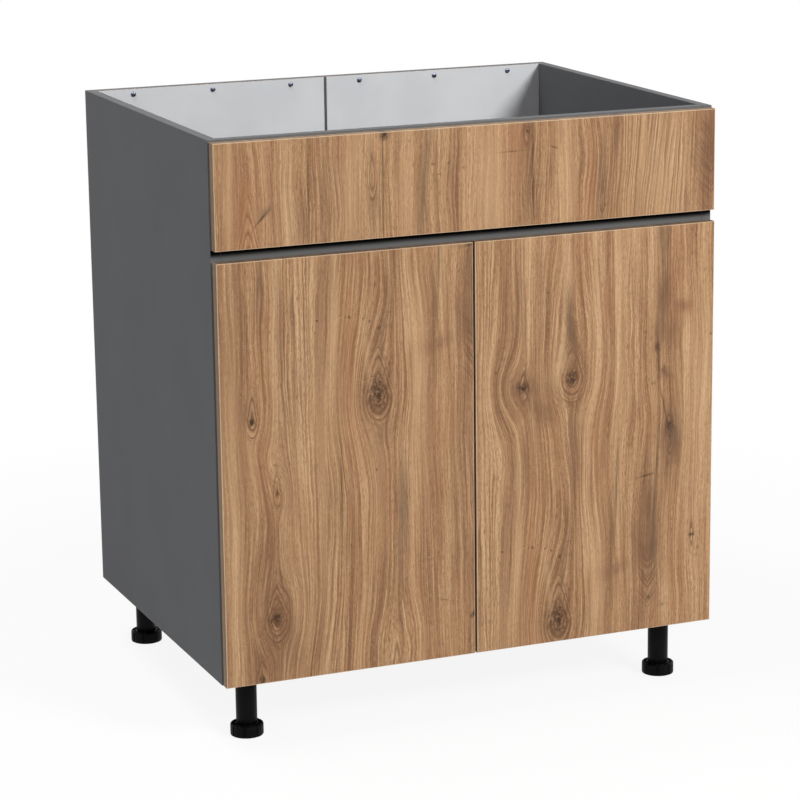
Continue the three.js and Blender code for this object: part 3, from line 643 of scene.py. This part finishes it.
def melamineBoard():
    given = graniteBoard
    material, tree, shader = startMaterial("anthraciteMelamine", given["roughness"], shine=given["shine"])
    x, y, z = objectPlace(tree)
    pearl = speckle(tree, *given["pearl"])
    light = smoothStep(pearl, *given["pearlStep"])
    colour = blendColour(light, paint(given["colour"]), paint(given["speck"]))
    shade = smoothStep(speckle(tree, *given["cloud"]), *given["cloudStep"])
    colour = blendColour(shade, colour, paint(given["dark"]))

    # the edges that face the wall are left raw, so the chipboard shows
    forwards, upwards = surfaceNormal(tree)[1:]
    chips = tree.nodes.new("ShaderNodeTexVoronoi")
    chips.inputs["Scale"].default_value = given["chipScale"]
    feed(chips.inputs["Vector"], vectorOf(x, y, times(z, given["chipLength"])))
    chipTone = smoothStep(chips.outputs["Color"], *given["chipStep"])
    chipColour = blendColour(chipTone, paint(given["chipDark"]), paint(given["chip"]))
    facesWall = times(above(forwards, given["squarely"]), above(y, given["wallSide"]))
    raw = times(facesWall, below(z, given["rawBelow"]))
    colour = blendColour(raw, colour, chipColour)

    # painted light: the top edges and the faces at the front are painted a shade lighter than the other
    # faces, standing in for the light that falls on them
    facesUp = times(above(upwards, given["squarely"]), above(z, given["paintedLightTopLevel"]))
    toFront = below(forwards, -given["squarely"])
    facesFront = times(toFront, below(y, given["paintedLightFrontSide"]))
    toneShift = add(times(facesUp, given["paintedLightOnTop"]), times(facesFront, given["paintedLightInFront"]))
    colour = blendColour(toneShift, colour, paint(given["paintedLightTone"]))
    # painted shadow: the grip slot under the false front is painted near black towards its top, where
    # little light gets in
    inPaintedShadow = times(toFront, below(y, given["paintedShadowSide"]))
    paintedShadow = smoothStep(z, *given["paintedShadowLevels"])
    paintedShadow = times(times(paintedShadow, below(z, given["paintedShadowTop"])), inPaintedShadow)
    colour = blendColour(paintedShadow, colour, paint(given["paintedSlotShadow"]))
    feed(shader.inputs["Base Color"], colour)
    bumpFrom(shader, pearl, *given["bump"])
    return material


backBoard = {
    "lacquer": ("#dfe1e4", "#e6e8ea"),
    "bare": [(0.3, "#7d5f43"), (0.5, "#94724f"), (0.7, "#a98762")],
    "bareFrom": -0.5,
    "roughness": 0.5,
    "shine": 0.3,
    "fibre": ((0.9, 1, 0.9), 4, 0.65),
    "cloud": ((0.012, 1, 0.012), 2),
    "cloudStep": (0.3, 0.7),
    "bump": (0.1, 0.0002),
}


def hardboard():
    given = backBoard
    material, tree, shader = startMaterial("lacqueredHardboard", given["roughness"], shine=given["shine"])
    fibre = speckle(tree, *given["fibre"])
    cloudy = smoothStep(speckle(tree, *given["cloud"]), *given["cloudStep"])
    white = blendColour(cloudy, *(paint(code) for code in given["lacquer"]))
    brown = colourRamp(fibre, given["bare"])
    # only the inner face is lacquered
    raw = above(surfaceNormal(tree)[1], given["bareFrom"])
    feed(shader.inputs["Base Color"], blendColour(raw, white, brown))
    bumpFrom(shader, fibre, *given["bump"])
    return material


# moulded and metal finishes: two close tones in a fine grain
plainFinishes = {
    # the tones, roughness, metallic, scale, bump, shine
    "stripPlastic": ("#4b4b4e", "#58585a", 0.45, 0.0, 1.5, 0.1, 0.5),
    "nickelPlate": ("#bfc0c1", "#cacac8", 0.24, 1.0, 0.5, 0.2, 0.5),
    "castZinc": ("#8e9194", "#a9abad", 0.4, 1.0, 1.2, 0.6, 0.5),
    "burnishedSteel": ("#6f7282", "#858896", 0.3, 1.0, 0.9, 0.3, 0.5),
    "blackPlastic": ("#030304", "#080809", 0.42, 0.0, 0.7, 0.15, 0.08),
    "clearRubber": ("#a9aaa6", "#bcbdb8", 0.35, 0.0, 1.4, 0.1, 0.5),
}


# how the grain looks, and for both kinds how far it spreads the roughness, and its depth
plainGrain = {"noise": (3, 0.6), "step": (0.25, 0.75), "metal": (0.015, 0.00001), "plastic": (0.07, 0.0002)}


def plainFinish(name, colour, second, roughness, metallic, scale, bump, shine):
    material, tree, shader = startMaterial(name, roughness, metallic, shine)
    fine = speckle(tree, (scale, scale, scale), *plainGrain["noise"])
    feed(shader.inputs["Base Color"], blendColour(fine, paint(colour), paint(second)))
    spread, depth = plainGrain["metal" if metallic else "plastic"]
    rough = smoothStep(fine, *plainGrain["step"], roughness - spread, roughness + spread)
    feed(shader.inputs["Roughness"], rough)
    bumpFrom(shader, fine, bump, depth)
    return material


finishes = {name: plainFinish(name, *values) for name, values in plainFinishes.items()}


def dress(material, *starts):
    for name, node in nodes.items():
        if name.startswith(starts):
            wear(node, material)


dress(melamineBoard(), "side_panel", "bottom_panel", "front_rail", "rear_rail")
dress(hardboard(), "back_panel")
dress(finishes["stripPlastic"], "back_joint_strip")
dress(finishes["nickelPlate"], "hinge_", "outer_link", "inner_link", "back_screw")
dress(finishes["castZinc"], "cam_fitting")
dress(finishes["blackPlastic"], "leg_", "foot_")
print("carcass finished")


# modelling helpers
mm = 0.001


def pick(*chosen):
    bpy.ops.object.select_all(action="DESELECT")
    for obj in chosen:
        obj.select_set(True)
    bpy.context.view_layer.objects.active = chosen[0]


def settle(obj):
    pick(obj)
    bpy.ops.object.transform_apply(location=True, rotation=True, scale=True)


# a piece turned round Z: one point is drawn out along the outline, and the line is spun;
# the outline's points are a radius and a height in millimetres
def turned(name, outline, steps):
    bpy.ops.object.select_all(action="DESELECT")
    bpy.ops.mesh.primitive_plane_add(size=mm)
    obj = bpy.context.object
    obj.name = name
    bpy.ops.object.mode_set(mode="EDIT")
    bpy.ops.mesh.select_mode(type="VERT")
    bpy.ops.mesh.select_all(action="SELECT")
    bpy.ops.mesh.merge(type="CENTER")
    bpy.ops.transform.translate(value=(outline[0][0] * mm, 0, outline[0][1] * mm))
    for (radius, height), (nextRadius, nextHeight) in zip(outline, outline[1:]):
        move = ((nextRadius - radius) * mm, 0, (nextHeight - height) * mm)
        bpy.ops.mesh.extrude_vertices_move(TRANSFORM_OT_translate={"value": move})
    bpy.ops.mesh.select_all(action="SELECT")
    bpy.ops.mesh.spin(steps=steps, angle=2 * math.pi, center=(0, 0, 0), axis=(0, 0, 1))
    bpy.ops.mesh.select_all(action="SELECT")
    bpy.ops.mesh.remove_doubles(threshold=1e-6)
    bpy.ops.mesh.normals_make_consistent(inside=False)
    bpy.ops.object.mode_set(mode="OBJECT")
    return obj


def boxPiece(name, size, middle, turn=0.0):
    bpy.ops.mesh.primitive_cube_add(size=1, location=[c * mm for c in middle], rotation=(0, 0, turn))
    obj = bpy.context.object
    obj.name = name
    obj.scale = [c * mm for c in size]
    settle(obj)
    return obj


def barPiece(name, radius, low, high, spot=(0, 0), sides=32):
    bpy.ops.mesh.primitive_cylinder_add(
        vertices=sides, radius=radius * mm, depth=(high - low) * mm,
        location=(spot[0] * mm, spot[1] * mm, (low + high) / 2 * mm))
    obj = bpy.context.object
    obj.name = name
    settle(obj)
    return obj


def combine(obj, tool, operation):
    change = obj.modifiers.new("shape", "BOOLEAN")
    change.operation = operation
    change.solver = "EXACT"
    change.object = tool
    pick(obj)
    bpy.ops.object.modifier_apply(modifier=change.name)
    bpy.data.objects.remove(tool)


def soften(obj, width, segments=2, angle=40):
    change = obj.modifiers.new("ease", "BEVEL")
    change.width = width * mm
    change.segments = segments
    change.limit_method = "ANGLE"
    change.angle_limit = math.radians(angle)
    pick(obj)
    bpy.ops.object.modifier_apply(modifier=change.name)


def smoothed(obj, material, angle=32):
    pick(obj)
    bpy.ops.object.shade_smooth_by_angle(angle=math.radians(angle))
    wear(obj, material)


# a copy with its own mesh, its Z turned to the way it faces; the spot is in millimetres
def copyOf(master, name, spot, facing=(0, 0, 1)):
    obj = master.copy()
    obj.data = master.data.copy()
    obj.name = name
    bpy.context.collection.objects.link(obj)
    obj.location = [c * mm for c in spot]
    obj.rotation_euler = Vector(facing).to_track_quat("Z", "Y").to_euler()
    settle(obj)
    return obj


# screws and door bumpers
screwSizes = {
    # head radius, head height, shank radius, length, finish
    "back": (4.2, 2.6, 1.5, 13.5, "burnishedSteel"),
    "front": (3.8, 2.0, 1.9, 28.5, "castZinc"),
    "cup": (3.1, 1.1, 1.6, 10.5, "nickelPlate"),
    "plate": (3.4, 1.6, 1.8, 11.5, "nickelPlate"),
    "adjust": (3.2, 0.9, 1.8, 8.5, "nickelPlate"),
    "socket": (3.6, 1.9, 1.8, 12.5, "castZinc"),
}
screwShape = {
    "tip": (0.35, 0.8),  # share of the shank's radius, and height
    "threadFrom": 1.8,
    "threadTo": 1.2,
    "pitch": 1.3,
    "root": 0.78,  # share of the shank's radius
    "crest": 0.45,
    "nextRoot": 0.9,
    "neck": (0.8, 0.3),
    # from the rim to the middle: shares of the head's radius and height
    "head": [(0.94, 0), (1, 0.2), (0.97, 0.45), (0.86, 0.7), (0.66, 0.89), (0.4, 0.98), (0, 1)],
    "cross": (1.05, 0.26),  # shares of the head's radius
    "crossDepth": (0.62, 1.2),  # share of the head's height, and at most
    "sides": 32,
}


def screwMaster(kind):
    shape = screwShape
    radius, rise, shank, length, finish = screwSizes[kind]
    tipShare, tipHeight = shape["tip"]
    neckShare, neckDepth = shape["neck"]
    root = shank * shape["root"]
    outline = [(0, -length), (shank * tipShare, -length + tipHeight)]
    height = -length + shape["threadFrom"]
    while height < -shape["threadTo"]:
        outline += [(root, height), (shank, height + shape["crest"]), (root, height + shape["nextRoot"])]
        height += shape["pitch"]
    outline += [(shank * neckShare, -neckDepth), (shank, 0)]
    outline += [(radius * share, rise * lift) for share, lift in shape["head"]]
    head = turned("screwMaster_" + kind, outline, shape["sides"])
    depthShare, mostDepth = shape["crossDepth"]
    depth = min(rise * depthShare, mostDepth)
    long, short = (radius * share for share in shape["cross"])
    for size in ((long, short), (short, long)):
        combine(head, boxPiece("crossTool", (*size, depth * 2), (0, 0, rise)), "DIFFERENCE")
    smoothed(head, finishes[finish])
    return head


screwMasters = {kind: screwMaster(kind) for kind in screwSizes}


def addScrew(kind, name, spot, facing, body, replaced=None):
    screw = copyOf(screwMasters[kind], name, spot, facing)
    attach(screw, body)
    if replaced:
        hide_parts(replaced)


# which side each end is on, and the two ways that screws and bumpers face
ends = {"left": -1, "right": 1}
toFront, toRear = (0, -1, 0), (0, 1, 0)
fastenerPlaces = {
    "backFirst": 60, "backStep": 133, "backDepth": 289.75, "backLevel": 896.5,
    "frontAside": 250, "frontDepth": -275.25, "frontLevels": (788, 862),
    "hingeLevels": {"lower": 200, "upper": 631},
    "cupAside": 368, "cupDepth": -291.75, "cupSpread": 22.5,
    "plateAside": 381.5, "plateDepth": -254.25, "plateSpread": 16,
    "adjustAside": 369.5, "adjustDepths": {"front": -258.25, "rear": -233.25},
    "bumperAside": 20, "bumperDepth": -292.75, "bumperLevels": (108, 721),
    "bumperOutline": [(0, 0), (4, 0), (4, 0.35), (3.7, 0.8), (2.9, 1.1), (1.4, 1.2), (0, 1.2)],
    "bumperSides": 32,
}


def hingeScrews(end, row, middle):
    at, side = fastenerPlaces, ends[end]
    inward = (-side, 0, 0)
    for place, way in (("below", -1), ("above", 1)):
        mark = f"{row}_{end}_{place}"
        spot = (side * at["cupAside"], at["cupDepth"], middle + at["cupSpread"] * way)
        addScrew("cup", "cupScrew_" + mark, spot, toRear, "door_" + end)
        spot = (side * at["plateAside"], at["plateDepth"], middle + at["plateSpread"] * way)
        addScrew("plate", "plateScrew_" + mark, spot, inward, "carcass")
    for place, depth in at["adjustDepths"].items():
        spot = (side * at["adjustAside"], depth, middle)
        addScrew("adjust", f"adjustScrew_{row}_{end}_{place}", spot, inward, "carcass")


def endScrews(end):
    at, side = fastenerPlaces, ends[end]
    for i in range(3):
        mark = f"{end}_{i + 1}"
        spot = (side * (at["backFirst"] + at["backStep"] * i), at["backDepth"], at["backLevel"])
        addScrew("back", "backScrew_" + mark, spot, toFront, "carcass", "back_screw_" + mark)
    for level in at["frontLevels"]:
        spot = (side * at["frontAside"], at["frontDepth"], level)
        addScrew("front", f"frontScrew_{end}_{level}", spot, toRear, "carcass")
    for row, middle in at["hingeLevels"].items():
        hingeScrews(end, row, middle)


def doorBumpers():
    at = fastenerPlaces
    bumper = turned("bumperMaster", at["bumperOutline"], at["bumperSides"])
    smoothed(bumper, finishes["clearRubber"], 50)
    for end, side in ends.items():
        for level in at["bumperLevels"]:
            spot = (side * at["bumperAside"], at["bumperDepth"], level)
            pad = copyOf(bumper, f"doorBumper_{end}_{level}", spot, toRear)
            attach(pad, "door_" + end)
    bpy.data.objects.remove(bumper)


for end in ends:
    endScrews(end)
doorBumpers()
print("screws and bumpers placed")


# adjustable legs
legSizes = {
    "side": 344.5, "front": -237.25, "rear": 256.75, "under": 100,
    "plate": 64, "plateThick": 3.5, "plateCorner": 8, "sleeveOuter": 19.1, "sleeveInner": 16.3,
    "sleeveLow": 83.5, "socketEase": 0.4,
    "webs": 8, "webReach": (9.5, 5), "webThick": 1.8, "webTall": 5, "webSunk": 1.5,
    "screwOffset": 24, "screwLevel": 96.5, "screwHole": 2.2,
    "tubeRadius": 16, "tubeInner": 13.4, "tubeLow": 18.3, "tubeTop": 96.2, "tubeFacets": 24,
    "tubeEase": 0.35, "nutTall": 12, "nutPlay": 0.35,
    "footRadius": 25, "footTop": 18, "stemRadius": 9, "stemTop": 70, "pitch": 2.6,
    # radius of the cut, its place outside the rim, and its ends: over the floor and over the foot
    "cuts": 40, "notch": (2, 0, -1, 1), "notchEvery": 5, "flute": (0.75, 0.35, 2.6, -3),
    "notchTurn": 18,
    "spokes": 16, "spokeOut": 20, "spoke": (5.2, 1.3, 2.6), "spokeSunk": 2,
    # how many sides the round shapes have, and the steps of the plate's corners
    "roundSides": 64, "boreSides": 48, "holeSides": 24, "cutSides": 12, "cornerSteps": 6,
}


def socketMaster():
    sizes = legSizes
    side, thick, offset = sizes["plate"], sizes["plateThick"], sizes["screwOffset"]
    sides = sizes["roundSides"]
    outer, inner, sleeveLow = sizes["sleeveOuter"], sizes["sleeveInner"], sizes["sleeveLow"]
    top, low = sizes["under"], sizes["under"] - thick
    plate = boxPiece("socketMaster", (side, side, thick), (0, 0, (top + low) / 2))
    bpy.ops.object.mode_set(mode="EDIT")
    bpy.ops.mesh.select_mode(type="EDGE")
    bpy.ops.mesh.select_all(action="DESELECT")
    bpy.ops.object.mode_set(mode="OBJECT")
    for edge in plate.data.edges:
        first, second = (plate.data.vertices[i].co for i in edge.vertices)
        edge.select = abs(first.z - second.z) > mm
    bpy.ops.object.mode_set(mode="EDIT")
    bpy.ops.mesh.bevel(offset=sizes["plateCorner"] * mm, segments=sizes["cornerSteps"])
    bpy.ops.object.mode_set(mode="OBJECT")
    combine(plate, barPiece("sleeve", outer, sleeveLow, low + 1, sides=sides), "UNION")
    # stiffening webs from the sleeve out over the plate, long and short in turn
    for i in range(sizes["webs"]):
        turn = math.radians(360 / sizes["webs"] * i)
        reach = sizes["webReach"][i % 2]
        out = outer + reach / 2 - 1
        spot = (out * math.cos(turn), out * math.sin(turn), low - sizes["webSunk"])
        web = boxPiece("web", (reach, sizes["webThick"], sizes["webTall"]), spot, turn)
        combine(plate, web, "UNION")
    soften(plate, sizes["socketEase"])
    combine(plate, barPiece("bore", inner, sleeveLow - 1, low, sides=sides), "DIFFERENCE")
    for across in (-offset, offset):
        for along in (-offset, offset):
            spot = (across, along)
            hole = barPiece("hole", sizes["screwHole"], low - 1, top + 1, spot, sizes["holeSides"])
            combine(plate, hole, "DIFFERENCE")
    smoothed(plate, finishes["blackPlastic"])
    return plate


def tubeMaster():
    sizes = legSizes
    low, top = sizes["tubeLow"], sizes["tubeTop"]
    tube = barPiece("tubeMaster", sizes["tubeRadius"], low, top, sides=sizes["tubeFacets"])
    soften(tube, sizes["tubeEase"], 2, 10)
    nutTop, nutRadius = low + sizes["nutTall"], sizes["stemRadius"] + sizes["nutPlay"]
    wide = barPiece("wideBore", sizes["tubeInner"], nutTop, top + 1, sides=sizes["boreSides"])
    combine(tube, wide, "DIFFERENCE")
    nut = barPiece("nutBore", nutRadius, low - 1, nutTop + 1, sides=sizes["boreSides"])
    combine(tube, nut, "DIFFERENCE")
    smoothed(tube, finishes["blackPlastic"], 20)
    return tube


def footMaster():
    sizes = legSizes
    radius, top, stem = sizes["footRadius"], sizes["footTop"], sizes["stemRadius"]
    pitch, stemTop = sizes["pitch"], sizes["stemTop"]
    # the sole, the rim, the hollow behind the rim, and the neck of the stem
    outline = [(0, 0.6), (20, 0.6), (20.6, 0), (radius - 1.6, 0), (radius - 0.4, 0.5), (radius, 1.7)]
    outline += [(radius, top - 2.2), (radius - 0.5, top - 0.8), (radius - 1.7, top)]
    outline += [(radius - 2.6, top - 0.2), (radius - 3, top - 2.4), (18.2, top - 2.4), (17.6, top - 0.3)]
    outline += [(17, top), (stem + 1, top), (stem - 0.8, top + 0.4)]
    height = top + 1
    while height < stemTop - pitch:
        outline += [(stem - 0.9, height), (stem, height + pitch * 0.4)]
        outline += [(stem, height + pitch * 0.55), (stem - 0.9, height + pitch * 0.95)]
        height += pitch
    outline += [(stem - 1.2, stemTop - 0.4), (stem - 1.8, stemTop), (0, stemTop)]
    foot = turned("footMaster", outline, sizes["roundSides"])
    # eight grip notches, and finer flutes between them, turned as the photographed feet stand
    tools = []
    for i in range(sizes["cuts"]):
        turn = math.radians(360 / sizes["cuts"] * i + sizes["notchTurn"])
        size, out, low, overTop = sizes["flute" if i % sizes["notchEvery"] else "notch"]
        spot = ((radius + out) * math.cos(turn), (radius + out) * math.sin(turn))
        tools.append(barPiece("flute", size, low, top + overTop, spot, sizes["cutSides"]))
    pick(*tools)
    bpy.ops.object.join()
    combine(foot, tools[0], "DIFFERENCE")
    # spokes in the hollow behind the rim
    out = sizes["spokeOut"]
    for i in range(sizes["spokes"]):
        turn = math.radians(360 / sizes["spokes"] * (i + 0.5))
        spot = (out * math.cos(turn), out * math.sin(turn), top - sizes["spokeSunk"])
        combine(foot, boxPiece("spoke", sizes["spoke"], spot, turn), "UNION")
    smoothed(foot, finishes["blackPlastic"])
    return foot


socket, tube, foot = socketMaster(), tubeMaster(), footMaster()


def addLeg(end, row):
    across, along = ends[end] * legSizes["side"], legSizes[row]
    mark = f"{row}_{end}"
    for master, kind, node, body in (
            (socket, "legSocket", "leg_socket_", "carcass"),
            (tube, "legTube", "leg_tube_", "carcass"),
            (foot, "foot", "foot_", "foot_" + mark)):
        piece = copyOf(master, f"{kind}_{mark}_shown", (across, along, 0))
        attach(piece, body)
        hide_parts(node + mark)
    offset = legSizes["screwOffset"]
    for i, (right, back) in enumerate(((-1, -1), (1, -1), (1, 1), (-1, 1))):
        spot = (across + right * offset, along + back * offset, legSizes["screwLevel"])
        addScrew("socket", f"socketScrew_{mark}_{i + 1}", spot, (0, 0, -1), "carcass")


for end in ends:
    for row in ("front", "rear"):
        addLeg(end, row)
for master in (socket, tube, foot, *screwMasters.values()):
    bpy.data.objects.remove(master)
print("legs placed")


# studio
studio = {
    "floorSize": 14, "floorLevel": -0.0005,
    "paper": "#f4f4f4", "paperRoughness": 0.9, "paperGlow": 0.9,
    "glowRing": (700, 1800),  # millimetres from the middle, between which the paper turns white
    "worldLight": 0.15,
    # power, size, place
    "lamps": {
        "keyLamp": (242, 1.5, (2.2, -4.6, 3.3)),
        "fillLamp": (8, 2.6, (-4.2, -1.6, 2.9)),
        "topLamp": (98, 2.4, (-1.3, 0.2, 4.2)),
    },
    "aim": (0, 0, 0.45),
}


def areaLight(name, power, size, place):
    bpy.ops.object.light_add(type="AREA", location=place)
    lamp = bpy.context.object
    lamp.name = name
    lamp.data.shape = "DISK"
    lamp.data.size = size
    lamp.data.energy = power
    aim = Vector(studio["aim"]) - Vector(place)
    lamp.rotation_euler = aim.to_track_quat("-Z", "Y").to_euler()


# 1 for what is seen straight, in a mirror or through glass, and 0 for light alone
def seenDirectly(tree):
    path = tree.nodes.new("ShaderNodeLightPath").outputs
    seen = larger(path["Is Camera Ray"], path["Is Glossy Ray"])
    return larger(seen, path["Is Transmission Ray"])


def addFloor():
    bpy.ops.mesh.primitive_plane_add(size=studio["floorSize"], location=(0, 0, studio["floorLevel"]))
    floor = bpy.context.object
    floor.name = "studioFloor"
    material, tree, shader = startMaterial("studioPaper", studio["paperRoughness"])
    shader.inputs["Base Color"].default_value = paint(studio["paper"])
    glow = tree.nodes.new("ShaderNodeEmission")
    mixed = tree.nodes.new("ShaderNodeMixShader")
    x, y = objectPlace(tree)[:2]
    away = calc("SQRT", add(times(x, x), times(y, y)))
    glowing = smoothStep(away, *studio["glowRing"], studio["paperGlow"], 1)
    feed(mixed.inputs[0], times(seenDirectly(tree), glowing))
    feed(mixed.inputs[1], shader.outputs[0])
    feed(mixed.inputs[2], glow.outputs[0])
    feed(tree.nodes["Material Output"].inputs["Surface"], mixed.outputs[0])
    wear(floor, material)


def addWorld():
    world = bpy.data.worlds.new("studioWorld")
    bpy.context.scene.world = world
    world.use_nodes = True
    tree = world.node_tree
    background = tree.nodes["Background"]
    background.inputs["Color"].default_value = (1, 1, 1, 1)
    level = studio["worldLight"]
    strength = add(times(seenDirectly(tree), 1 - level), level)
    feed(background.inputs["Strength"], strength)


addFloor()
addWorld()
for name, values in studio["lamps"].items():
    areaLight(name, *values)
print("studio set")
